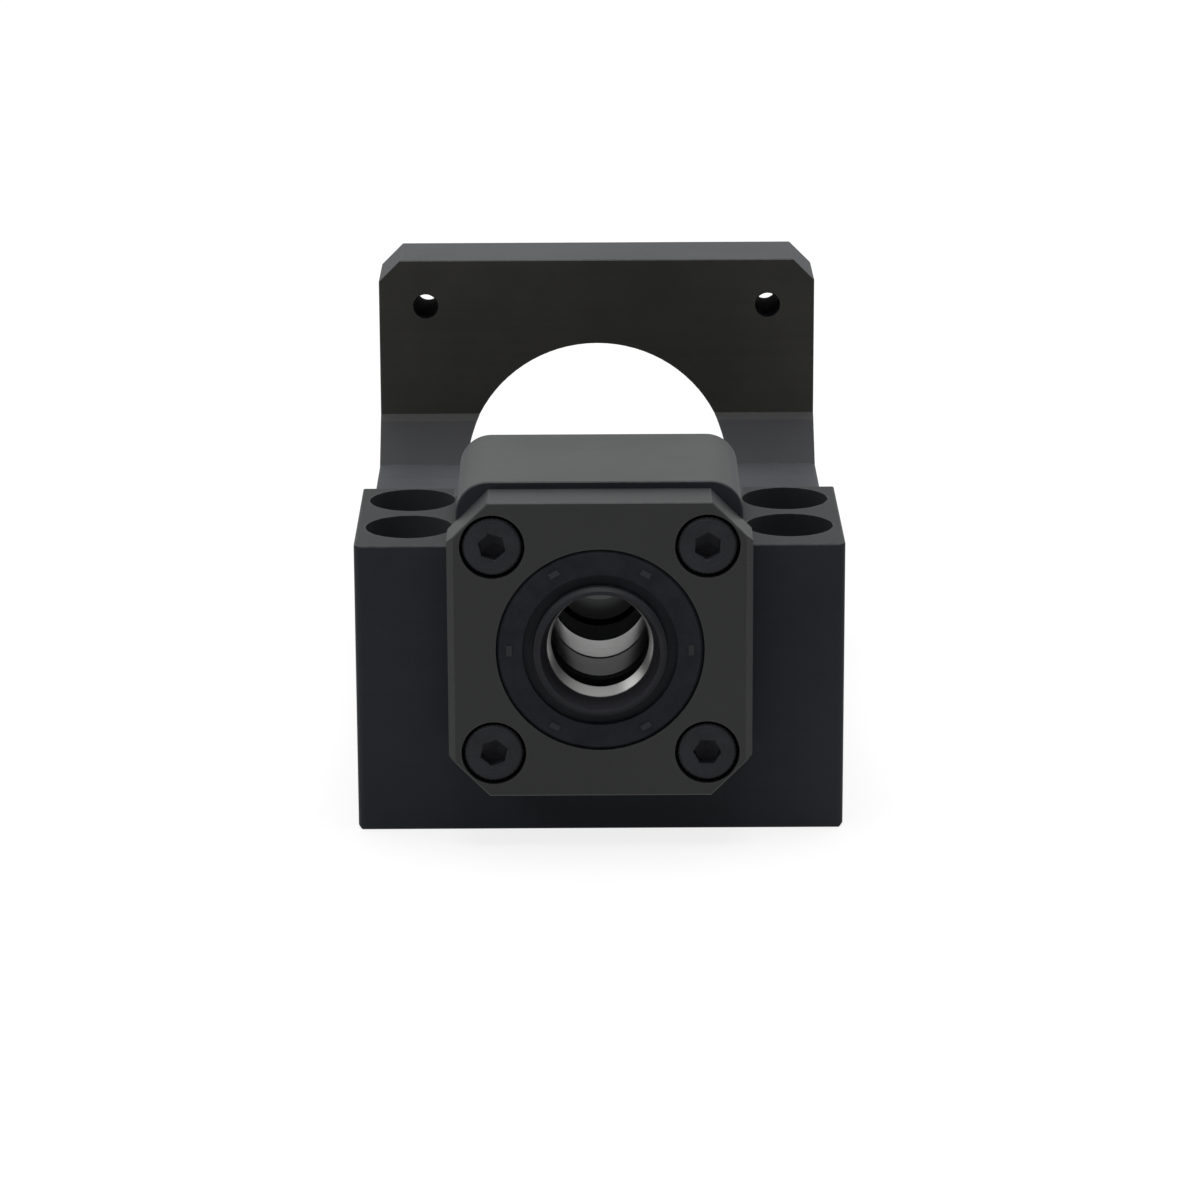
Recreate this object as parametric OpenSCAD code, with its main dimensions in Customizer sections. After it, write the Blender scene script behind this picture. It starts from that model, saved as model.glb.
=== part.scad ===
// Fixed-end support for a 12 mm ball screw, machined in one piece with the
// flange that carries its motor.
//
// X is across, Y runs along the screw from the retaining plate to the motor,
// and Z is up. The origin is the centre of the four base holes, on the face
// that the bracket stands on. The screw's axis is at x = 0, z = axis_h.

/* [Base and mounting holes] */
// Width of the machined body
body_w = 60; // [59:0.5:80]
// Height of the screw's axis above the base
axis_h = 25; // [22:0.5:40]
// Spacing of the base holes across the body
base_pitch_x = 47; // [46.5:0.1:47.8]
// Spacing of the base holes along the screw
base_pitch_y = 13; // [11.5:0.5:13]
// From the front face to the first row of base holes
base_inset = 9; // [6:0.5:9]
// Clearance hole for each base screw
base_hole_d = 6.6; // [5.5:0.1:9]
// Counterbore for the head of each base screw
counterbore_d = 10.8; // [9.5:0.1:11.2]
// Depth of the counterbores below the shoulders
counterbore_depth = 7; // [1.5:0.5:20]
// Size of the fine broken edges
edge = 0.15; // [0.1:0.05:0.4]
// Broken edge along both sides of the base
base_edge = 0.5; // [0.3:0.1:1]

/* [Bearing housing] */
// Top of the shoulders above the axis
shoulder_rise = 11.4; // [6:0.2:16]
// Length of the shoulders along the screw
shoulder_len = 28; // [27.8:0.2:34]
// Width of the raised housing over the bearings
hump_w = 35; // [34:0.5:35.6]
// Top of the raised housing above the axis
hump_rise = 19.4; // [17.5:0.1:24]
// Radius of the raised housing's long corners
hump_r = 4; // [1:0.5:5]
// Radius of the two upright edges at the front
upright_r = 0.9; // [0.6:0.1:2]
// Lip between the bearing seat and the rear seal
lip_t = 1.3; // [1:0.1:4]
// Diameter of the opening in each lip that clamps an outer ring
lip_d = 22; // [19:0.5:24]

/* [Coupling bay] */
// Length of the bay between the shoulders and the flange
bay_len = 53; // [36:1:80]
// Height of the bay's side walls above the axis
deck_rise = 2.4; // [-4:0.2:4]
// Length and height of the sloping web at each end of the bay's side walls
web_leg = 5.9; // [3:0.1:7]

/* [Motor flange] */
// Thickness of the flange
flange_t = 12; // [8:0.5:16]
// Top of the flange above the axis
flange_rise = 30; // [28:0.5:36]
// Chamfer on the flange's two upper corners
flange_chamfer = 3; // [1:0.5:5]
// Bore through the flange and along the bay
bay_d = 36.5; // [32:0.5:37.5]
// Recess for the motor's pilot
pilot_d = 38.2; // [38:0.1:40]
// Depth of the recess for the motor's pilot
pilot_depth = 2.4; // [1.8:0.1:4]
// Spacing of the motor's screws, a square of this side about the axis
motor_pitch = 47.14; // [46:0.1:48]
// Tapping hole for each motor screw
motor_hole_d = 3.3; // [3:0.1:4.3]

/* [Retaining plate] */
// Width and height of the plate
plate_w = 37; // [36.5:0.5:38]
// Thickness of the plate in front of the housing
plate_t = 6.7; // [6.2:0.1:9]
// Chamfer on the plate's four corners
plate_chamfer = 5; // [2:0.5:5.5]
// Broken edge up both sides of the plate's front face
plate_edge = 0.8; // [0.5:0.1:1]
// How far the plate's spigot enters the bearing seat
spigot_len = 2.2; // [1.2:0.1:4]

/* [Plate screws] */
// Spacing of the plate's screws, both ways
screw_pitch = 26; // [25.6:0.1:26.2]
// Thread diameter of the plate's screws
screw_d = 4; // [3:0.5:4]
// Length of the plate's screws under the head
screw_len = 10; // [8:1:14]
// Diameter of the screw heads
head_d = 7.2; // [6:0.1:7.4]
// Height of the screw heads
head_h = 4; // [3:0.1:4.4]
// Width across the flats of the screws' sockets
socket_af = 3; // [2:0.5:4]
// Gap round each head in its counterbore
head_gap = 0.35; // [0.25:0.05:0.6]

/* [Bearings] */
// Outer diameter of the bearings
bearing_od = 28; // [26:0.5:28.4]
// Width of one bearing
bearing_w = 8; // [7:0.5:10]
// Bore of the bearings and collars, the screw's journal
journal_d = 12; // [10:0.5:12.4]
// Outer diameter of the inner rings
inner_ring_od = 17; // [16.8:0.1:17.6]
// Wall of the outer rings at their thick shoulder
outer_ring_t = 2.5; // [2.2:0.1:2.8]
// Diameter of the balls
ball_d = 4.76; // [4:0.02:4.9]
// Number of balls in each bearing
ball_count = 10; // [7:1:10]
// From each cage's end to the end of its bearing
cage_inset = 1; // [0.8:0.1:1.2]
// Gap between the balls and their grooves
ball_gap = 0.03; // [0.02:0.01:0.06]
// Gap round each ball in its cage pocket
pocket_gap = 0.15; // [0.1:0.05:0.25]

/* [Seals and collars] */
// Outer diameter of the seals
seal_od = 25.3; // [24.4:0.1:25.4]
// Width of the seals
seal_w = 4.5; // [4.5:0.1:5.5]
// Outer diameter of the collars
collar_od = 16.2; // [15:0.1:16.6]
// How far each collar stands out of its seal
collar_proud = 1; // [0.5:0.1:3]
// Diameter of the lead-in at the mouth of the front collar
leadin_d = 14.5; // [13:0.1:14.8]
// Length of the lead-in, from the collar's face to its journal bore
leadin_len = 5; // [2:0.2:5.4]
// Length of the relief inside the front collar, next to the bearing
relief_len = 4.2; // [2:0.2:6]
// Bore of the relief inside the front collar
relief_d = 13.6; // [13:0.1:14.4]
// Gap between each seal lip and its collar
lip_gap = 0.05; // [0.02:0.01:0.1]
// Radius of the garter spring's section
spring_r = 0.5; // [0.3:0.05:0.55]
// Number of moulded pips round each seal's face
pip_count = 6; // [3:1:8]

/* [Lock nut] */
// Outer diameter of the lock nut
nut_od = 22; // [20:0.5:26]
// Length of the lock nut
nut_len = 10; // [9:0.5:14]
// Width across the nut's six flats
nut_af = 19; // [18:0.5:21]
// Length of the nut's six flats
nut_flat_len = 4.5; // [3:0.5:4.5]
// Core diameter of the nut's thread
nut_thread_d = 10.92; // [9:0.02:11.9]
// Diameter of the nut's two set screws
set_d = 4; // [3:0.5:4]
// Width across the flats of the set screws' sockets
set_socket_af = 2; // [1.5:0.5:2.5]
// Thickness of the soft pads under the set screws
pad_t = 1; // [0.6:0.1:1.5]

/* [Fits] */
// Radial gap of rings, seals and the spigot in their seats
seat_gap = 0.01; // [0.005:0.005:0.05]
// Radial gap of screws in their holes
thread_gap = 0.05; // [0.02:0.01:0.1]

/* [Hidden] */
$fn = 48;
eps = 0.01;
over = 5;

// Heights
shoulder_z = axis_h + shoulder_rise;
hump_z = axis_h + hump_rise;
deck_z = axis_h + deck_rise;
flange_z = axis_h + flange_rise;
motor_z = axis_h + motor_pitch / 2;

// Stations along the screw
block_front = -(base_inset + base_pitch_y / 2);
plate_front = block_front - plate_t;
bearing_1 = block_front + spigot_len;
bearing_2 = bearing_1 + bearing_w;
seat_end = bearing_2 + bearing_w;
rear_pocket = seat_end + lip_t;
hump_back = rear_pocket + seal_w;
shoulder_back = block_front + shoulder_len;
flange_front = shoulder_back + bay_len;
flange_back = flange_front + flange_t;
nut_front = hump_back + collar_proud;
nut_back = nut_front + nut_len;

// Radii about the screw's axis
journal_r = journal_d / 2;
collar_r = collar_od / 2;
seal_r = seal_od / 2;
ball_r = ball_d / 2;
land_in = inner_ring_od / 2;
land_out = bearing_od / 2 - outer_ring_t;
pitch_r = (land_in + land_out) / 2;
groove_r = 0.52 * ball_d;
groove_shift = groove_r - ball_r - ball_gap;

// Broken edges of the turned pieces
ring_edge = 0.4;
nut_edge = 0.6;
screw_edge = 0.4;

// Plate screws: the tapped holes run a little past the screws' ends
tapped_spare = 2;
head_recess_r = head_d / 2 + head_gap;
screw_hole_r = screw_d / 2 + thread_gap;

// Seal section: walls and radii, from its outside to its lips
skin_t = 0.5;
case_t = 0.6;
case_out = seal_r - skin_t;
lip_r = collar_r + lip_gap;
mouth_r = lip_r + 1.3;
case_in = mouth_r + 0.45;
neck_r = mouth_r - 0.15;
waist_r = lip_r + 0.6;
spring_pitch_r = lip_r + 1.5;
seal_edge = 0.45;

// Seal section: depths behind its face
dust_top = 0.75;
dust_tip = 1;
waist_top = 1.6;
waist_end = 2.3;
head_top = 2.6;
lip_tip = 3.2;
spring_depth = 3.25;
head_end = 4.1;

// Moulded pips on the seals' faces
pip_len = 1.3;
pip_w = 0.7;
pip_h = 0.15;

// Lock nut's set screws, their ends a little below its outside
set_angles = [30, 150];
set_sunk = 0.4;

STEEL = [0.62, 0.63, 0.65];
BLACK = [0.14, 0.14, 0.15];
RUBBER = [0.1, 0.11, 0.13];

// ---- Shared shapes ----

// Places children on the screw's axis at station y, with their +Z along +Y
module on_axis(y) {
    translate([0, y, axis_h]) rotate([-90, 0, 0]) children();
}

// Cylinder about the screw's axis between two stations
module bore(y0, y1, r) {
    on_axis(y0) cylinder(r = r, h = y1 - y0);
}

// Rectangle with its four corners cut by c, or its two lower ones by foot
module bevel_rect(a, b, c, foot = undef) {
    f = is_undef(foot) ? c : foot;
    polygon([
        [f, 0], [a - f, 0], [a, f], [a, b - c],
        [a - c, b], [c, b], [0, b - c], [0, f]
    ]);
}

// Extrudes a YZ profile across the body, centred on x = 0
module across(width) {
    translate([-width / 2, 0, 0]) rotate([90, 0, 90]) linear_extrude(width) children();
}

// Extrudes an XZ profile from station y by length
module along(y, length) {
    translate([0, y + length, 0]) rotate([90, 0, 0]) linear_extrude(length) children();
}

// Box that stands on the base, from station y, with every edge broken
module bevel_box(width, y, length, height) {
    intersection() {
        translate([-width / 2, y, 0]) linear_extrude(height) bevel_rect(width, length, edge);
        across(width) translate([y, 0]) bevel_rect(length, height, edge);
        along(y, length) translate([-width / 2, 0]) bevel_rect(width, height, edge, base_edge);
    }
}

// Ring about the axis with its four edges broken by c; children are cut away
// from its section, where x is the radius and y runs from 0 to length
module ring(y, length, r_in, r_out, c) {
    on_axis(y) rotate_extrude() difference() {
        translate([r_in, 0]) bevel_rect(r_out - r_in, length, c);
        children();
    }
}

// Repeats children at the four corners of a pattern centred on the origin
module four(pitch_x, pitch_y) {
    for (sx = [-1, 1], sy = [-1, 1]) translate([sx * pitch_x / 2, sy * pitch_y / 2]) children();
}

// Six-sided socket, its mouth at z = 0 and its floor below
module socket(af, depth) {
    translate([0, 0, -depth]) cylinder(d = af / cos(30), h = depth + 1, $fn = 6);
}

// ---- Bracket ----

// Raised housing over the bearings, with round long corners
module hump() {
    length = hump_back - block_front;
    flat_w = hump_w - 2 * hump_r;
    side_h = hump_z - hump_r;
    across(flat_w) translate([block_front, 0]) bevel_rect(length, hump_z, edge);
    translate([-hump_w / 2, block_front, edge])
        linear_extrude(side_h - edge) bevel_rect(hump_w, length, edge);
    for (s = [-1, 1]) translate([s * flat_w / 2, block_front, side_h]) rotate([-90, 0, 0])
        rotate_extrude() intersection() {
            translate([-hump_r, 0]) bevel_rect(2 * hump_r, length, edge);
            square([hump_r, length]);
        }
}

// Flange with its two upper corners chamfered
module flange() {
    c = flange_chamfer;
    w = body_w / 2;
    intersection() {
        bevel_box(body_w, flange_front, flange_t, flange_z);
        along(flange_front, flange_t)
            polygon([[-w, 0], [w, 0], [w, flange_z - c], [w - c, flange_z],
                     [c - w, flange_z], [-w, flange_z - c]]);
    }
}

// Sloping web where a bay wall meets an upright face; y is the upright's
// station and way is -1 or 1, the side that it is on
module web(y, way) {
    root = -2 * edge;
    across(body_w) translate([y, deck_z]) mirror([way < 0 ? 1 : 0, 0])
        polygon([[root, root], [web_leg, root], [web_leg, 0], [0, web_leg], [root, web_leg]]);
}

// Upright cutter that rounds a front corner; side is -1 or 1
module corner_cut(side) {
    translate([side * (body_w / 2 - upright_r), block_front + upright_r, -over])
        linear_extrude(shoulder_z + 2 * over) difference() {
            translate([side < 0 ? -over : 0, -over]) square(over);
            circle(r = upright_r);
        }
}

module base_holes() {
    four(base_pitch_x, base_pitch_y) {
        translate([0, 0, -over]) cylinder(d = base_hole_d, h = shoulder_z + over);
        translate([0, 0, shoulder_z - counterbore_depth])
            cylinder(d = counterbore_d, h = counterbore_depth + over);
    }
}

// Open bay for the coupling: a round channel on the axis, open at the top
module bay() {
    slot_end = flange_front - web_leg;
    bore(hump_back, flange_back + over, bay_d / 2);
    translate([-bay_d / 2, hump_back, axis_h])
        cube([bay_d, slot_end - hump_back, hump_rise + over]);
}

// Blind tapped holes, each with the point that its drill leaves
module plate_screw_holes() {
    depth = screw_len - (plate_t - head_h) + tapped_spare;
    point = screw_hole_r * tan(31);
    on_axis(block_front) four(screw_pitch, screw_pitch) {
        translate([0, 0, -eps]) cylinder(r = screw_hole_r, h = depth + eps);
        translate([0, 0, depth - eps]) cylinder(r1 = screw_hole_r, r2 = 0, h = point);
    }
}

module motor_holes() {
    for (s = [-1, 1]) translate([s * motor_pitch / 2, flange_front - over, motor_z])
        rotate([-90, 0, 0]) cylinder(d = motor_hole_d, h = flange_t + 2 * over);
}

// One machined block: bearing housing, coupling bay and motor flange
module bracket_body() {
    color(BLACK) difference() {
        union() {
            bevel_box(body_w, block_front, flange_back - block_front, deck_z);
            bevel_box(body_w, block_front, shoulder_len, shoulder_z);
            hump();
            flange();
            web(flange_front, -1);
            web(shoulder_back, 1);
        }
        corner_cut(-1);
        corner_cut(1);
        bay();
        bore(block_front - over, seat_end, bearing_od / 2 + seat_gap);
        bore(seat_end - eps, hump_back + eps, lip_d / 2);
        bore(rear_pocket, hump_back + eps, seal_r + seat_gap);
        bore(flange_back - pilot_depth, flange_back + over, pilot_d / 2);
        base_holes();
        plate_screw_holes();
        motor_holes();
    }
}

// ---- Retaining plate and its screws ----

// Square outline with cut corners, centred on the axis
module plate_outline() {
    translate([-plate_w / 2, -plate_w / 2]) bevel_rect(plate_w, plate_w, plate_chamfer);
}

// Prism that breaks one of the front face's eight edges by c
module plate_edge_cut(distance, c) {
    side = c * sqrt(2);
    translate([0, distance, 0]) rotate([45, 0, 0]) cube([plate_w, side, side], center = true);
}

module retaining_plate() {
    corner_distance = (plate_w - plate_chamfer) / sqrt(2);
    color(BLACK) union() {
        on_axis(plate_front) difference() {
            linear_extrude(plate_t) plate_outline();
            for (i = [0 : 7]) rotate([0, 0, 45 * i])
                plate_edge_cut(i % 2 == 0 ? plate_w / 2 : corner_distance, i % 4 == 2 ? plate_edge : edge);
            translate([0, 0, -eps]) cylinder(r = seal_r + seat_gap, h = seal_w + eps);
            cylinder(d = lip_d, h = plate_t + over);
            four(screw_pitch, screw_pitch) {
                translate([0, 0, -over]) cylinder(r = head_recess_r, h = head_h + over);
                cylinder(r = screw_hole_r, h = plate_t + over);
            }
        }
        ring(block_front - eps, spigot_len + eps, lip_d / 2, bearing_od / 2 - seat_gap, 0);
    }
}

// Socket head screw, its head's top at z = 0 and its point at the end
module cap_screw() {
    c = screw_edge;
    r = head_d / 2;
    tip = head_h + screw_len;
    difference() {
        rotate_extrude() polygon([
            [0, 0], [r - c, 0], [r, c], [r, head_h], [screw_d / 2, head_h],
            [screw_d / 2, tip - c], [screw_d / 2 - c, tip], [0, tip]
        ]);
        mirror([0, 0, 1]) socket(socket_af, head_h / 2);
    }
}

module plate_screws() {
    color(STEEL) on_axis(plate_front) four(screw_pitch, screw_pitch) cap_screw();
}

// ---- Seals: a rubber ring with two lips, a steel ring and a garter spring ----

// Rubber section; x is the radius, y runs inwards from the visible face
module seal_section() {
    c = seal_edge;
    head_out = spring_pitch_r + spring_r;
    difference() {
        polygon([
            [seal_r - c, 0], [seal_r, c], [seal_r, seal_w - c], [seal_r - c, seal_w],
            [case_out, seal_w], [case_out, case_t], [case_in, case_t], [case_in, 2 * case_t],
            [neck_r, waist_top], [neck_r, waist_end], [head_out, head_top],
            [head_out, head_end], [spring_pitch_r - spring_r, head_end],
            [lip_r, lip_tip], [waist_r, waist_end], [waist_r, waist_top],
            [lip_r, dust_tip], [lip_r, dust_top], [mouth_r, dust_top], [mouth_r, 0]
        ]);
        translate([spring_pitch_r, spring_depth]) circle(r = spring_r + eps);
        translate([spring_pitch_r, spring_depth - spring_r / 2]) square([2 * spring_r, spring_r]);
    }
}

module seal_rubber() {
    rotate_extrude() seal_section();
    for (i = [0 : pip_count - 1]) rotate([0, 0, 360 / pip_count * i])
        translate([(mouth_r + seal_r - pip_w) / 2, -pip_len / 2, -pip_h])
            cube([pip_w, pip_len, pip_h + eps]);
}

module seal_case() {
    inner = case_out - case_t;
    rotate_extrude() polygon([
        [case_in, case_t], [case_out, case_t], [case_out, seal_w - case_t / 2],
        [inner, seal_w - case_t / 2], [inner, 2 * case_t], [case_in, 2 * case_t]
    ]);
}

module garter_spring() {
    translate([0, 0, spring_depth]) rotate_extrude() translate([spring_pitch_r, 0]) circle(r = spring_r);
}

// Places a seal's part in the front plate, its face to the front
module in_front() {
    on_axis(plate_front) children();
}

// Places a seal's part in the rear pocket, its face to the rear
module in_rear() {
    translate([0, hump_back, axis_h]) rotate([90, 0, 0]) children();
}

module front_seal() { color(RUBBER) in_front() seal_rubber(); }
module front_seal_ring() { color(STEEL) in_front() seal_case(); }
module front_seal_spring() { color(STEEL) in_front() garter_spring(); }
module rear_seal() { color(RUBBER) in_rear() seal_rubber(); }
module rear_seal_ring() { color(STEEL) in_rear() seal_case(); }
module rear_seal_spring() { color(STEEL) in_rear() garter_spring(); }

// ---- Collars ----

// Sleeve that clamps the inner rings; its bore has a tapered lead-in for the
// journal, a short land and a relief next to the bearing
module front_collar() {
    length = bearing_1 - plate_front + collar_proud;
    color(BLACK) ring(plate_front - collar_proud, length, journal_r, collar_r, ring_edge) {
        polygon([[0, -eps], [leadin_d / 2, -eps], [journal_r, leadin_len], [0, leadin_len]]);
        translate([0, length - relief_len]) square([relief_d / 2, relief_len + eps]);
    }
}

module rear_collar() {
    length = hump_back + collar_proud - seat_end;
    color(BLACK) ring(seat_end, length, journal_r, collar_r, ring_edge);
}

// ---- Bearings ----

// Outer ring with a groove, and a counterbored shoulder on one side;
// open_end is the station offset of that shoulder, 0 or bearing_w
module outer_ring(y, open_end) {
    open_r = pitch_r + 0.75 * ball_r;
    color(STEEL) ring(y, bearing_w, land_out, bearing_od / 2, ring_edge) {
        translate([pitch_r - groove_shift, bearing_w / 2]) circle(r = groove_r);
        translate([0, open_end == 0 ? -eps : bearing_w / 2])
            square([open_r, bearing_w / 2 + eps]);
    }
}

module inner_ring(y) {
    color(STEEL) ring(y, bearing_w, journal_r, land_in, ring_edge)
        translate([pitch_r + groove_shift, bearing_w / 2]) circle(r = groove_r);
}

module around_pitch() {
    for (i = [0 : ball_count - 1]) rotate([0, 0, 360 / ball_count * i]) children();
}

// Ring that keeps the balls apart, with one round pocket for each
module cage(y) {
    land = land_out - land_in;
    width = bearing_w - 2 * cage_inset;
    color("tan") on_axis(y + bearing_w / 2) difference() {
        translate([0, 0, -width / 2]) rotate_extrude()
            translate([pitch_r - 0.3 * land, 0]) square([0.6 * land, width]);
        around_pitch() rotate([0, 90, 0]) cylinder(r = ball_r + pocket_gap, h = bearing_od);
    }
}

module balls(y) {
    color(STEEL) on_axis(y + bearing_w / 2) around_pitch()
        translate([pitch_r, 0, 0]) sphere(r = ball_r, $fn = 16);
}

module front_outer_ring() { outer_ring(bearing_1, bearing_w); }
module front_inner_ring() { inner_ring(bearing_1); }
module front_cage() { cage(bearing_1); }
module front_balls() { balls(bearing_1); }
module rear_outer_ring() { outer_ring(bearing_2, 0); }
module rear_inner_ring() { inner_ring(bearing_2); }
module rear_cage() { cage(bearing_2); }
module rear_balls() { balls(bearing_2); }

// ---- Lock nut with two set screws on soft pads ----

set_y = (nut_len - nut_flat_len) / 2;
pad_r0 = nut_thread_d / 2;
set_r0 = pad_r0 + pad_t;
set_len = nut_od / 2 - set_sunk - set_r0;

// Repeats children at both set screws, with their +Z along the radius
module at_set_screws() {
    on_axis(nut_front + set_y) for (a = set_angles) rotate([0, 0, -a]) rotate([0, 90, 0]) children();
}

module lock_nut() {
    c = nut_edge;
    round_len = nut_len - nut_flat_len;
    color(BLACK) difference() {
        union() {
            ring(nut_front, round_len, nut_thread_d / 2, nut_od / 2, c);
            on_axis(nut_front + c) cylinder(d = nut_af / cos(30), h = nut_len - c, $fn = 6);
        }
        bore(nut_front - over, nut_back + over, nut_thread_d / 2);
        at_set_screws() cylinder(r = set_d / 2 + thread_gap, h = nut_od);
    }
}

module nut_set_screws() {
    color(STEEL) at_set_screws() translate([0, 0, set_r0 + set_len]) difference() {
        translate([0, 0, -set_len]) cylinder(d = set_d, h = set_len);
        socket(set_socket_af, set_len / 2);
    }
}

// Pads whose inner ends are shaped to the thread's core
module nut_pads() {
    color("goldenrod") difference() {
        at_set_screws() cylinder(d = set_d, h = set_r0);
        bore(nut_front - over, nut_back + over, pad_r0 + eps);
    }
}

bracket_body();
retaining_plate();
plate_screws();
front_seal();
front_seal_ring();
front_seal_spring();
rear_seal();
rear_seal_ring();
rear_seal_spring();
front_collar();
rear_collar();
front_outer_ring();
front_inner_ring();
front_cage();
front_balls();
rear_outer_ring();
rear_inner_ring();
rear_cage();
rear_balls();
lock_nut();
nut_set_screws();
nut_pads();
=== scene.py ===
# Looks of the ball screw end support: the finish of every piece, detailed plate
# screws, and the floor, light and camera. Lengths are in metres.
import math

import bpy
from mathutils import Matrix, Vector


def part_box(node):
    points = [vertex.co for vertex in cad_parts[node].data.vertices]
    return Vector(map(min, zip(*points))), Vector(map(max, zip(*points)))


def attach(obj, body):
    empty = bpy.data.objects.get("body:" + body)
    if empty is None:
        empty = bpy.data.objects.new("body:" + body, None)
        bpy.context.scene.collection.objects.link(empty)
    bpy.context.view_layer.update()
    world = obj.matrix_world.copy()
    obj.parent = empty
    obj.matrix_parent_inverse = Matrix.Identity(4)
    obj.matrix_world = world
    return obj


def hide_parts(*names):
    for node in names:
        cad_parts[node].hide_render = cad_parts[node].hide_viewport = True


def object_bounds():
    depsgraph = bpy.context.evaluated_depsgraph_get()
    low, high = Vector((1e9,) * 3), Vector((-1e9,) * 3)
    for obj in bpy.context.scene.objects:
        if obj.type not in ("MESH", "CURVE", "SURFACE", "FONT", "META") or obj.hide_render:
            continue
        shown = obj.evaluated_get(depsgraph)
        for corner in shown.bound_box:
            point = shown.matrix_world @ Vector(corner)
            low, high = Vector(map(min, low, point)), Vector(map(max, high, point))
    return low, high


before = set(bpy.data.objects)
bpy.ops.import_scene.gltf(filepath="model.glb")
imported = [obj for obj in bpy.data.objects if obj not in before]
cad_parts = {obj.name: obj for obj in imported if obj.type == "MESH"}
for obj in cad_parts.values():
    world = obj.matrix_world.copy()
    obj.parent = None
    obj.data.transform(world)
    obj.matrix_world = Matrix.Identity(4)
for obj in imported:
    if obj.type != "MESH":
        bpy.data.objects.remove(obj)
cad_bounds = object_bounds()

MM = 0.001


# ---- Sizes read from the frame ----

def centre(node):
    low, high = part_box(node)
    return (low + high) / 2


def extent(node):
    low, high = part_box(node)
    return high - low


# Sizes that the frame doesn't give, with the names and values that part.scad has
JOURNAL_D = 12 * MM
LEADIN_D = 14.5 * MM
SHOULDER_RISE = 11.4 * MM
FLANGE_T = 12 * MM
BAY_D = 36.5 * MM
MOTOR_PITCH = 47.14 * MM
MOTOR_HOLE_D = 3.3 * MM

# Places, in the part's own coordinates
AXIS_Z = centre("front_outer_ring").z
AXIS = (0.0, AXIS_Z)
BLOCK_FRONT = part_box("bracket_body")[0].y
FLANGE_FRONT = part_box("bracket_body")[1].y - FLANGE_T
SHOULDER_Z = AXIS_Z + SHOULDER_RISE
MOTOR_HOLE = (MOTOR_PITCH / 2, AXIS_Z + MOTOR_PITCH / 2)
COLLAR_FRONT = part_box("front_collar")[0].y
COLLAR_R = extent("front_collar").x / 2
PIP_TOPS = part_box("front_seal")[0].y


# ---- Node trees ----

class Nodes:
    """Short calls that add nodes to one node tree. Values are numbers, tuples or sockets."""

    def __init__(self, tree):
        self.tree = tree
        tree.nodes.clear()

    def feed(self, socket, value):
        if isinstance(value, bpy.types.NodeSocket):
            self.tree.links.new(value, socket)
        else:
            socket.default_value = value

    def add(self, kind, inputs, **settings):
        node = self.tree.nodes.new(kind)
        for name, value in settings.items():
            setattr(node, name, value)
        for key, value in inputs.items():
            self.feed(node.inputs[key], value)
        return node

    def math(self, operation, a, b=0.0):
        return self.add("ShaderNodeMath", {0: a, 1: b}, operation=operation).outputs[0]

    def all_of(self, first, *others):
        """1 only where every mask is 1."""
        mask = first
        for other in others:
            mask = self.math("MULTIPLY", mask, other)
        return mask

    def vector(self, operation, a, b=(0.0, 0.0, 0.0)):
        return self.add("ShaderNodeVectorMath", {0: a, 1: b}, operation=operation)

    def split(self, vector):
        return self.add("ShaderNodeSeparateXYZ", {0: vector}).outputs

    def join(self, x, y, z):
        return self.add("ShaderNodeCombineXYZ", {0: x, 1: y, 2: z}).outputs[0]

    def step(self, value, low, high, out_low=0.0, out_high=1.0):
        """Smooth step of value from low to high."""
        inputs = {"Value": value, "From Min": low, "From Max": high,
                  "To Min": out_low, "To Max": out_high}
        return self.add("ShaderNodeMapRange", inputs, interpolation_type="SMOOTHSTEP").outputs[0]

    def mix(self, factor, a, b):
        """Colour a where factor is 0 and b where it is 1."""
        inputs = {"Factor": factor, 6: (*a, 1) if isinstance(a, tuple) else a,
                  7: (*b, 1) if isinstance(b, tuple) else b}
        return self.add("ShaderNodeMix", inputs, data_type="RGBA").outputs[2]

    def lerp(self, factor, a, b):
        """Number a where factor is 0 and b where it is 1."""
        return self.add("ShaderNodeMix", {"Factor": factor, 2: a, 3: b}, data_type="FLOAT").outputs[0]

    def noise(self, vector, scale, detail=2.0, roughness=0.5):
        inputs = {"Vector": vector, "Scale": scale, "Detail": detail, "Roughness": roughness}
        return self.add("ShaderNodeTexNoise", inputs).outputs["Fac"]

    def stretched(self, vector, scale):
        """The vector with its three parts scaled apart, for a texture drawn out along one way."""
        return self.vector("MULTIPLY", vector, scale).outputs[0]

    def bump(self, height, distance, strength=1.0, normal=None):
        inputs = {"Height": height, "Distance": distance, "Strength": strength}
        if normal is not None:
            inputs["Normal"] = normal
        return self.add("ShaderNodeBump", inputs).outputs[0]


def new_material(name):
    """An empty material's node calls, its object coordinates and its Principled shader."""
    material = bpy.data.materials.new(name)
    material.use_nodes = True
    nodes = Nodes(material.node_tree)
    shader = nodes.add("ShaderNodeBsdfPrincipled", {})
    out = nodes.add("ShaderNodeOutputMaterial", {})
    nodes.tree.links.new(shader.outputs[0], out.inputs[0])
    place = nodes.add("ShaderNodeTexCoord", {}).outputs["Object"]
    return material, nodes, place, shader


def broken_edges(nodes, radius):
    """1 along convex and concave edges, fading over about the radius."""
    rounded = nodes.add("ShaderNodeBevel", {"Radius": radius}, samples=6).outputs[0]
    flat = nodes.add("ShaderNodeNewGeometry", {}).outputs["Normal"]
    agree = nodes.vector("DOT_PRODUCT", rounded, flat).outputs["Value"]
    return nodes.step(agree, 0.999, 0.93)


# ---- Finishes ----

def within(nodes, value, low, high, soft=0.1 * MM):
    """1 where value lies between low and high."""
    return nodes.all_of(nodes.step(value, low - soft, low), nodes.step(value, high + soft, high))


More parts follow.
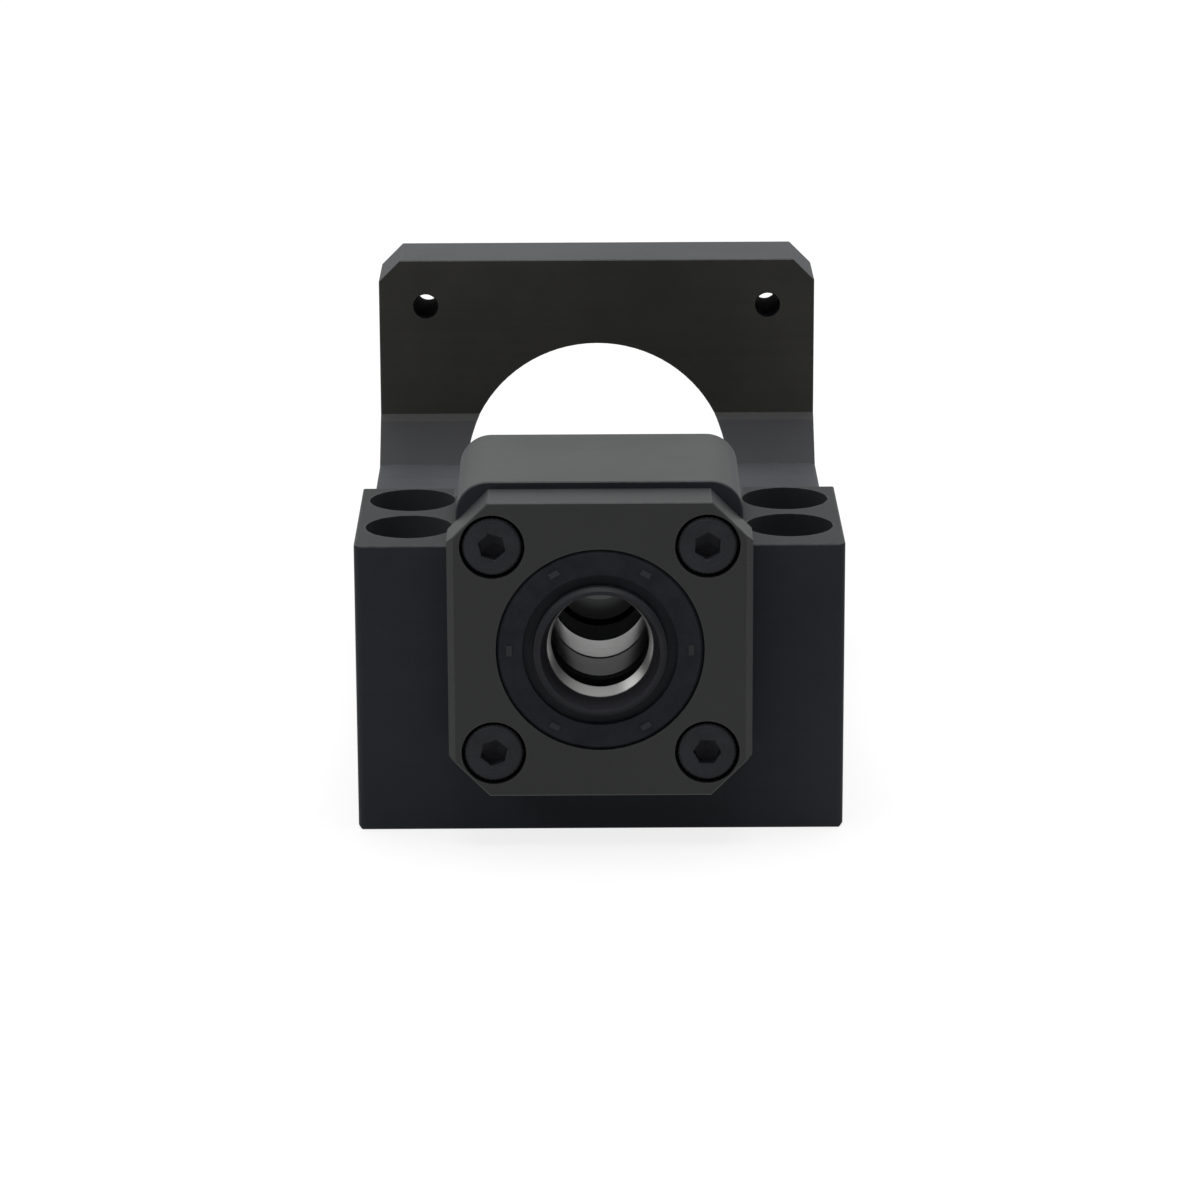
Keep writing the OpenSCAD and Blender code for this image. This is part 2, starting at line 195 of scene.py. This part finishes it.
def around(nodes, place, centre_x, centre_z):
    """Radius from, and turn about, a line along Y, for turned faces."""
    x, _, z = nodes.split(place)
    dx = nodes.math("SUBTRACT", x, centre_x)
    dz = nodes.math("SUBTRACT", z, centre_z)
    radius = nodes.vector("LENGTH", nodes.join(dx, 0.0, dz)).outputs["Value"]
    turn = nodes.math("ARCTAN2", dz, dx)
    return radius, turn


# The part of a face's normal that lies along an axis, from where the face starts to count as
# facing that axis to where it counts in full.
FACING = (0.6, 0.8)


def painted_face_light(nodes, place, normal):
    """Painted light and shade on the bracket: a gain on its black for each kind of face, the same on its
    left and right.

    The gains were set by comparing each face with the photo."""
    _, y, z = nodes.split(place)
    _, normal_y, normal_z = nodes.split(normal)
    faces_up = nodes.step(normal_z, *FACING)
    faces_front = nodes.step(normal_y, -FACING[0], -FACING[1])
    sloping_webs = within(nodes, normal_z, *FACING, soft=0.02)
    radius, _ = around(nodes, place, *AXIS)
    bored = nodes.step(radius, BAY_D / 2 + 0.3 * MM, BAY_D / 2 + 0.2 * MM)

    flange_front = nodes.step(y, FLANGE_FRONT - 2 * MM, FLANGE_FRONT - MM)
    block_front = nodes.step(y, BLOCK_FRONT + 2 * MM, BLOCK_FRONT + MM)
    shoulder_tops = within(nodes, z, SHOULDER_Z - MM, SHOULDER_Z + MM)
    housing_top = within(nodes, z, SHOULDER_Z + 2 * MM, SHOULDER_Z + 10 * MM)
    bay_walls = within(nodes, z, 0.0, SHOULDER_Z - 4 * MM)
    channel = nodes.step(z, AXIS_Z, AXIS_Z - 4 * MM)

    # Painted light and shade: flange fronts, housing tops and bay floors lighter; block fronts, shoulder
    # tops and sloping webs darker; the bored channel much darker, as painted shade down the bore.
    painted_light_and_shade = (1.0, 1.0, 1.0)
    for faces, place_mask, gain in (
            (faces_front, flange_front, (1.34, 1.26, 1.12)),
            (faces_front, block_front, (0.8, 0.83, 0.92)),
            (faces_up, shoulder_tops, (0.56, 0.58, 0.56)),
            (faces_up, housing_top, (1.22, 1.2, 1.13)),
            (faces_up, bay_walls, (1.1, 1.1, 1.14)),
            (sloping_webs, bay_walls, (0.86, 0.84, 0.84)),
            (bored, channel, (0.35, 0.35, 0.36))):
        painted_light_and_shade = nodes.mix(nodes.all_of(faces, place_mask), painted_light_and_shade, gain)
    return painted_light_and_shade


def painted_plate_shade(nodes, place, normal):
    """Painted shade on the plate: a gain on its black, lower on faces that look up. It was set as the
    bracket's was.
    """
    faces_up = nodes.step(nodes.split(normal)[2], 0.5, 0.8)
    return nodes.mix(faces_up, (1.0, 1.0, 1.0), (0.55, 0.56, 0.61))


def in_motor_holes(nodes, place):
    """1 in both tapped holes of the flange, where near black is painted shade, standing in for the shade
    that their threads would hold.
    """
    x, _, z = nodes.split(place)
    mirrored = nodes.join(nodes.math("ABSOLUTE", x), 0.0, z)
    radius, _ = around(nodes, mirrored, *MOTOR_HOLE)
    return nodes.step(radius, MOTOR_HOLE_D / 2 + 0.12 * MM, MOTOR_HOLE_D / 2 + 0.06 * MM)


def black_oxide(name, dark, light, roughness, worn, specular, painted_light_and_shade):
    """Milled steel, blackened. Tool marks run along X, and along Y on the sides.

    worn is the colour of broken edges, and the last argument a function that gives the painted light and
    shade on each face, as a gain."""
    material, nodes, place, shader = new_material(name)
    normal = nodes.add("ShaderNodeNewGeometry", {}).outputs["Normal"]
    on_side = nodes.step(nodes.math("ABSOLUTE", nodes.split(normal)[0]), *FACING)
    # Noise scales along the tool marks and across them
    along = 18
    across = 1500
    marks_x = nodes.noise(nodes.stretched(place, (along, across, across)), 1.0, 3)
    marks_y = nodes.noise(nodes.stretched(place, (across, along, across)), 1.0, 3)
    marks = nodes.lerp(on_side, marks_x, marks_y)
    cloud = nodes.noise(place, 45, 4, 0.6)
    grain = nodes.noise(place, 4200, 2)
    edge = broken_edges(nodes, 0.45 * MM)
    scuffs = nodes.step(nodes.noise(place, 900, 5, 0.7), 0.35, 0.75)

    tone = nodes.step(nodes.lerp(0.14, cloud, marks), 0.3, 0.7)
    colour = nodes.mix(tone, dark, light)
    # Painted light and shade: the colour times a gain for each kind of face.
    colour = nodes.vector("MULTIPLY", colour, painted_light_and_shade(nodes, place, normal)).outputs[0]
    rubbed_off = nodes.all_of(edge, nodes.math("MULTIPLY", scuffs, 0.6))
    colour = nodes.mix(rubbed_off, colour, worn)
    # Painted shade: near black inside the tapped holes.
    painted_hole_shade = in_motor_holes(nodes, place)
    colour = nodes.mix(painted_hole_shade, colour, (0.002, 0.002, 0.004))
    nodes.feed(shader.inputs["Base Color"], colour)

    rough = nodes.lerp(cloud, roughness - 0.06, roughness + 0.08)
    rough = nodes.math("ADD", rough, nodes.math("MULTIPLY", marks, 0.08))
    rough = nodes.lerp(painted_hole_shade, rough, 1.0)
    nodes.feed(shader.inputs["Roughness"], rough)
    shader.inputs["Specular IOR Level"].default_value = specular

    relief = nodes.bump(marks, 0.012 * MM, 0.5)
    nodes.feed(shader.inputs["Normal"], nodes.bump(grain, 0.01 * MM, 0.5, relief))
    return material


def front_collar_zones(nodes, place, radius, cloud, look):
    """The front collar's rim, mouth, relief and bright band, each with its own colour; the relief's near
    black is painted shade deep in the bore.

    The band lies on the inner part of the lead-in and on the land behind it. It starts ragged."""
    rim_inner, rim_full = COLLAR_R - 0.6 * MM, COLLAR_R - 0.3 * MM
    mouth_r = LEADIN_D / 2
    band_start, band_full = 2.7 * MM, 3.2 * MM
    land_end, relief_start = 5.6 * MM, 5.8 * MM
    raggedness = 0.6 * MM

    depth = nodes.math("SUBTRACT", nodes.split(place)[1], COLLAR_FRONT)
    wander = nodes.math("MULTIPLY", nodes.math("SUBTRACT", cloud, 0.5), raggedness)
    band_begun = nodes.step(nodes.math("ADD", depth, wander), band_start, band_full)
    before_relief = nodes.step(depth, relief_start, land_end)
    inside = nodes.step(radius, mouth_r + 0.1 * MM, mouth_r + 0.05 * MM)
    rim = nodes.step(radius, rim_inner, rim_full)
    mouth = nodes.step(radius, mouth_r - 0.05 * MM, mouth_r - 0.2 * MM)
    relief = nodes.all_of(inside, nodes.step(depth, land_end, relief_start))
    band = nodes.all_of(band_begun, before_relief, inside)
    for zone, colour in (
            (rim, (0.026, 0.0268, 0.031)),
            (mouth, (0.032, 0.032, 0.038)),
            # Near black past the land: painted shade deep in the bore.
            (relief, (0.007, 0.007, 0.0075)),
            (band, (0.33, 0.33, 0.325))):
        look["Base Color"] = nodes.mix(zone, look["Base Color"], colour)
    look["Roughness"] = nodes.lerp(band, look["Roughness"], 0.3)
    look["Metallic"] = nodes.lerp(band, look["Metallic"], 1.0)
    leaning = leaning_normal(nodes, place, radius)
    look["Normal"] = nodes.add("ShaderNodeMix", {"Factor": band, 4: look["Normal"], 5: leaning},
                               data_type="VECTOR").outputs[1]


def leaning_normal(nodes, place, radius):
    """A normal that points to the axis and leans towards the mouth.

    It isn't the surface's own: it was chosen so that the band catches light as in the photo."""
    lean = -1.27
    x, _, z = nodes.split(place)
    inward_x = nodes.math("SUBTRACT", AXIS[0], x)
    inward_z = nodes.math("SUBTRACT", AXIS[1], z)
    leaning = nodes.join(inward_x, nodes.math("MULTIPLY", radius, lean), inward_z)
    return nodes.add("ShaderNodeVectorTransform", {0: leaning}, vector_type="NORMAL",
                     convert_from="OBJECT", convert_to="WORLD").outputs[0]


def bore_zone(painted_bore_tone):
    """Zones for a nut or collar whose bore is rougher and has a painted tone of its own: painted light
    and shade down the bore.
    """
    def zones(nodes, place, radius, cloud, look):
        inside = nodes.step(radius, JOURNAL_D / 2 + 0.2 * MM, JOURNAL_D / 2 + 0.1 * MM)
        look["Base Color"] = nodes.mix(inside, look["Base Color"], painted_bore_tone)
        look["Roughness"] = nodes.lerp(inside, look["Roughness"], 0.85)
    return zones


def turned(name, dark, light, roughness, metallic, specular, axis=AXIS, zones=None):
    """Turned or ground steel, its fine marks running round the axis (x, z).

    zones is a function that changes the look on parts of the surface."""
    material, nodes, place, shader = new_material(name)
    radius, turn = around(nodes, place, *axis)
    y = nodes.split(place)[1]
    # Noise scales across the turning marks, and along them per radian
    across = 5200
    along = 1.2
    rings = nodes.join(nodes.math("MULTIPLY", radius, across), nodes.math("MULTIPLY", turn, along),
                       nodes.math("MULTIPLY", y, across))
    marks = nodes.noise(rings, 1.0, 3)
    cloud = nodes.noise(place, 260, 3)
    tone = nodes.step(nodes.lerp(0.5, cloud, marks), 0.3, 0.7)
    look = {
        "Base Color": nodes.mix(tone, dark, light),
        "Roughness": nodes.lerp(marks, roughness - 0.05, roughness + 0.1),
        "Metallic": metallic,
        "Normal": nodes.bump(marks, 0.008 * MM, 0.5),
    }
    if zones:
        zones(nodes, place, radius, cloud, look)
    for key, value in look.items():
        nodes.feed(shader.inputs[key], value)
    shader.inputs["Specular IOR Level"].default_value = specular
    return material


def rubber(name):
    """Moulded rubber with a faint bloom. The front seal's pips are paler, as in the photo."""
    material, nodes, place, shader = new_material(name)
    cloud = nodes.noise(place, 420, 4, 0.6)
    grain = nodes.noise(place, 5200, 2)
    on_pips = nodes.step(nodes.split(place)[1], PIP_TOPS + 0.1 * MM, PIP_TOPS + 0.05 * MM)
    colour = nodes.mix(nodes.step(cloud, 0.3, 0.7), (0.016, 0.0175, 0.022), (0.026, 0.028, 0.034))
    nodes.feed(shader.inputs["Base Color"], nodes.mix(on_pips, colour, (0.05, 0.052, 0.056)))
    nodes.feed(shader.inputs["Roughness"], nodes.lerp(cloud, 0.42, 0.6))
    shader.inputs["Specular IOR Level"].default_value = 0.12
    nodes.feed(shader.inputs["Normal"], nodes.bump(grain, 0.012 * MM, 0.6))
    return material


def plain(name, dark, light, roughness, metallic=0.0):
    """Small parts out of sight, moulded or cut, without marks of their own."""
    material, nodes, place, shader = new_material(name)
    cloud = nodes.noise(place, 500, 4, 0.6)
    nodes.feed(shader.inputs["Base Color"], nodes.mix(nodes.step(cloud, 0.3, 0.7), dark, light))
    nodes.feed(shader.inputs["Roughness"], nodes.lerp(cloud, roughness - 0.08, roughness + 0.08))
    shader.inputs["Metallic"].default_value = metallic
    nodes.feed(shader.inputs["Normal"], nodes.bump(nodes.noise(place, 3000, 2), 0.01 * MM, 0.5))
    return material


def dress(material, *node_names):
    """Puts a material on the whole of each CAD node."""
    for name in node_names:
        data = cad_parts[name].data
        data.materials.clear()
        data.materials.append(material)


body_finish = black_oxide("body_black", (0.039, 0.041, 0.044), (0.052, 0.054, 0.057), 0.5,
                          (0.11, 0.11, 0.112), 0.1, painted_face_light)
plate_finish = black_oxide("plate_black", (0.0268, 0.0288, 0.0275), (0.0366, 0.039, 0.0375), 0.45,
                           (0.07, 0.07, 0.07), 0.3, painted_plate_shade)
collar_finish = turned("collar_black", (0.022, 0.023, 0.028), (0.036, 0.037, 0.043), 0.4, 0.0, 0.14,
                       zones=front_collar_zones)

# The nut and the rear collar share a black. Their bores' colours were set against the photo: the nut's
# near black is painted shade, and the rear collar's, much paler than its outside, is painted light so
# that it shows down the dark bore.
CLAMP_BLACK = ((0.03, 0.031, 0.034), (0.045, 0.046, 0.05), 0.5, 0.0, 0.15)
nut_finish = turned("nut_black", *CLAMP_BLACK, zones=bore_zone((0.012, 0.0127, 0.013)))
rear_collar_finish = turned("rear_collar_black", *CLAMP_BLACK, zones=bore_zone((0.13, 0.138, 0.14)))

# The front inner ring is painted a much darker steel than the others, as painted shade, as it looks in
# the photo.
ring_finish = turned("ring_steel", (0.62, 0.62, 0.62), (0.74, 0.74, 0.73), 0.28, 1.0, 0.5)
shaded_ring_finish = turned("ring_steel_painted_shade", (0.056, 0.059, 0.064), (0.08, 0.084, 0.09), 0.3, 1.0, 0.5)

# Each plate screw turns its marks round its own axis.
screw_finish = turned("screw_black", (0.026, 0.027, 0.032), (0.042, 0.044, 0.05), 0.4, 0.0, 0.14,
                      axis=(0.0, 0.0))
seal_finish = rubber("seal_rubber")
cage_finish = plain("cage_resin", (0.42, 0.3, 0.14), (0.52, 0.38, 0.2), 0.45)
brass_finish = plain("pad_brass", (0.5, 0.34, 0.1), (0.62, 0.44, 0.16), 0.35, 1.0)

dress(body_finish, "bracket_body")
dress(plate_finish, "retaining_plate")
dress(collar_finish, "front_collar")
dress(rear_collar_finish, "rear_collar")
dress(nut_finish, "lock_nut", "nut_set_screws")
dress(shaded_ring_finish, "front_inner_ring")
dress(ring_finish, "front_outer_ring", "rear_outer_ring", "rear_inner_ring",
      "front_balls", "rear_balls", "front_seal_ring", "rear_seal_ring",
      "front_seal_spring", "rear_seal_spring")
dress(seal_finish, "front_seal", "rear_seal")
dress(cage_finish, "front_cage", "rear_cage")
dress(brass_finish, "nut_pads")


# ---- Plate screws: knurled heads, sockets and rolled threads ----

COLUMNS = 144
RIDGES = 36
HEAD_D = 7.2 * MM
HEAD_H = 4 * MM
SHANK_D = 4 * MM
SHANK_LEN = 10 * MM
SOCKET_AF = 3 * MM
SOCKET_DEPTH = 2 * MM
THREAD_PITCH = 0.7 * MM
THREAD_DEPTH = 0.4 * MM


def circle(radius):
    return [radius] * COLUMNS


def hexagon(across_flats):
    """Radii of a hexagon, at every column."""
    third = math.pi / 3
    return [across_flats / 2 / math.cos((2 * math.pi * i / COLUMNS + third / 2) % third - third / 2)
            for i in range(COLUMNS)]


def knurled(radius, depth):
    """Radii of a round side with straight ridges."""
    per_ridge = COLUMNS // RIDGES
    return [radius - depth * (0.5 + 0.5 * math.cos(2 * math.pi * (i % per_ridge) / per_ridge))
            for i in range(COLUMNS)]


def threaded(y, radius, depth, pitch):
    """Radii of a thread at one station along its axis."""
    radii = []
    for i in range(COLUMNS):
        phase = (y / pitch - i / COLUMNS) % 1
        radii.append(radius - depth * min(1, max(0, 1.5 - abs(4 * phase - 2))))
    return radii


def lathe(name, rings):
    """A mesh skinned over rings of (station along Y, radii), its ends closed."""
    vertices, faces = [], []
    for y, radii in rings:
        for i, radius in enumerate(radii):
            angle = 2 * math.pi * i / COLUMNS
            vertices.append((radius * math.cos(angle), y, radius * math.sin(angle)))
    for k in range(len(rings) - 1):
        for i in range(COLUMNS):
            a, b = k * COLUMNS + i, k * COLUMNS + (i + 1) % COLUMNS
            faces.append((a, b, b + COLUMNS, a + COLUMNS))
    faces.append(tuple(reversed(range(COLUMNS))))
    faces.append(tuple(range((len(rings) - 1) * COLUMNS, len(rings) * COLUMNS)))
    data = bpy.data.meshes.new(name)
    data.from_pydata(vertices, [], faces)
    data.validate()
    data.shade_smooth()
    data.set_sharp_from_angle(angle=math.radians(35))
    return data


def screw_mesh():
    """Socket head screw along Y, the top of its head at y = 0."""
    head_r = HEAD_D / 2
    shank_r = SHANK_D / 2
    bevel = 0.35 * MM
    knurl = 0.16 * MM
    drill_tip = 0.5 * MM
    socket_lead_in = 0.12 * MM
    unthreaded = 0.8 * MM
    tip_chamfer = 0.4 * MM
    mouth_r = SOCKET_AF / 2 / math.cos(math.pi / 6) + 0.1 * MM
    tip = HEAD_H + SHANK_LEN
    rings = [
        (SOCKET_DEPTH + drill_tip, circle(0.02 * MM)),
        (SOCKET_DEPTH, hexagon(SOCKET_AF)),
        (socket_lead_in, hexagon(SOCKET_AF)),
        (0.0, circle(mouth_r)),
        (0.0, circle(head_r - bevel - 0.05 * MM)),
        (0.02 * MM, circle(head_r - bevel)),
        (bevel, knurled(head_r - 0.02 * MM, knurl / 2)),
        (bevel + 0.15 * MM, knurled(head_r, knurl)),
        (HEAD_H - 0.35 * MM, knurled(head_r, knurl)),
        (HEAD_H - 0.2 * MM, circle(head_r - 0.18 * MM)),
        (HEAD_H, circle(head_r - 0.25 * MM)),
        (HEAD_H, circle(shank_r)),
    ]
    steps = 5
    count = int((SHANK_LEN - unthreaded) / THREAD_PITCH * steps)
    for k in range(count):
        y = HEAD_H + 0.3 * MM + k * THREAD_PITCH / steps
        grow = min(1, k / steps, (count - 1 - k) / steps)
        rings.append((y, threaded(y, shank_r, THREAD_DEPTH * grow, THREAD_PITCH)))
    rings.append((tip - tip_chamfer, circle(shank_r)))
    rings.append((tip, circle(shank_r - tip_chamfer)))
    return lathe("plate_screw", rings)


def plate_screws():
    """One screw in each corner of the CAD node's box, each turned in by its own amount."""
    data = screw_mesh()
    data.materials.append(screw_finish)
    low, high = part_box("plate_screws")
    reach = HEAD_D / 2
    corners = [(x, z) for x in (low.x + reach, high.x - reach) for z in (low.z + reach, high.z - reach)]
    turns = (12, 47, 31, 3)
    for k, ((x, z), turn) in enumerate(zip(corners, turns)):
        screw = bpy.data.objects.new(f"plate_screw_{k + 1}", data)
        bpy.context.scene.collection.objects.link(screw)
        screw.location = (x, low.y, z)
        screw.rotation_euler = (0, math.radians(turn), 0)
        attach(screw, "housing")
        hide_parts("plate_screws")


plate_screws()


# ---- Camera ----

def aim(obj, pitch, yaw, roll):
    """Turns an object that looks along -Z: degrees down from level, right of +Y, and clockwise."""
    look = Matrix.Rotation(math.radians(-yaw), 4, "Z") @ Matrix.Rotation(math.radians(90 - pitch), 4, "X")
    obj.rotation_euler = (look @ Matrix.Rotation(math.radians(-roll), 4, "Z")).to_euler()


def make_camera():
    """The camera that was fitted to the photo."""
    data = bpy.data.cameras.new("camera")
    data.lens = 138.26
    data.sensor_width = 36
    data.clip_start, data.clip_end = 0.01, 20
    camera = bpy.data.objects.new("camera", data)
    bpy.context.scene.collection.objects.link(camera)
    camera.location = (-1.77 * MM, -556.9 * MM, 184.09 * MM)
    aim(camera, pitch=15.942, yaw=0.19, roll=0.24)
    bpy.context.scene.camera = camera


# ---- Floor and light ----

LIT_SPOT = Vector((0, 0.02, 0.02))


def floor_material():
    """White to the camera and in gloss, like the background, with a faint shadow; grey to other light."""
    material, nodes, _, shader = new_material("floor_white")
    path = nodes.add("ShaderNodeLightPath", {}).outputs
    seen = nodes.math("MAXIMUM", path["Is Camera Ray"], path["Is Glossy Ray"])
    nodes.feed(shader.inputs["Base Color"], nodes.mix(seen, (0.25, 0.25, 0.25), (0.85, 0.85, 0.85)))
    shader.inputs["Roughness"].default_value = 0.9
    shader.inputs["Specular IOR Level"].default_value = 0.0
    glow = nodes.add("ShaderNodeEmission", {"Color": (1, 1, 1, 1), "Strength": 1.0}).outputs[0]
    share = nodes.math("MULTIPLY", seen, 0.82)
    mixed = nodes.add("ShaderNodeMixShader", {0: share, 1: shader.outputs[0], 2: glow}).outputs[0]
    out = next(node for node in nodes.tree.nodes if node.type == "OUTPUT_MATERIAL")
    nodes.tree.links.new(mixed, out.inputs[0])
    return material


def make_floor():
    data = bpy.data.meshes.new("floor")
    half = 6.0
    z = cad_bounds[0].z
    corners = [(-half, -half, z), (half, -half, z), (half, half, z), (-half, half, z)]
    data.from_pydata(corners, [], [(0, 1, 2, 3)])
    floor = bpy.data.objects.new("floor", data)
    bpy.context.scene.collection.objects.link(floor)
    data.materials.append(floor_material())


def make_world():
    """Even soft light; the camera sees white, and gloss sees a room bright above and behind."""
    world = bpy.data.worlds.new("studio")
    bpy.context.scene.world = world
    world.use_nodes = True
    nodes = Nodes(world.node_tree)
    path = nodes.add("ShaderNodeLightPath", {}).outputs
    way = nodes.add("ShaderNodeTexCoord", {}).outputs["Generated"]
    _, y, z = nodes.split(way)
    back = nodes.step(y, -0.5, 0.6, 0.15, 0.75)
    level = nodes.math("MAXIMUM", back, nodes.step(z, 0.2, 0.9, 0.0, 0.9))
    soft = nodes.math("MULTIPLY", level, 0.6)
    strength = nodes.lerp(path["Is Glossy Ray"], soft, level)
    strength = nodes.lerp(path["Is Camera Ray"], strength, 1.0)
    shade = nodes.add("ShaderNodeBackground", {"Color": (1, 1, 1, 1), "Strength": strength})
    out = nodes.add("ShaderNodeOutputWorld", {})
    nodes.tree.links.new(shade.outputs[0], out.inputs[0])


def area_light(name, place, width, power):
    """A round lamp that looks at the part. Its power is in watts."""
    data = bpy.data.lights.new(name, "AREA")
    data.shape = "DISK"
    data.size = width
    data.energy = power
    light = bpy.data.objects.new(name, data)
    bpy.context.scene.collection.objects.link(light)
    light.location = place
    light.rotation_euler = (LIT_SPOT - Vector(place)).to_track_quat("-Z", "Y").to_euler()


make_camera()
make_floor()
make_world()
area_light("top_light", place=(0.0, 0.22, 1.5), width=1.2, power=29)
area_light("left_light", place=(-1.1, -0.8, 0.9), width=0.8, power=2.6)
bpy.context.scene.view_settings.view_transform = "Standard"
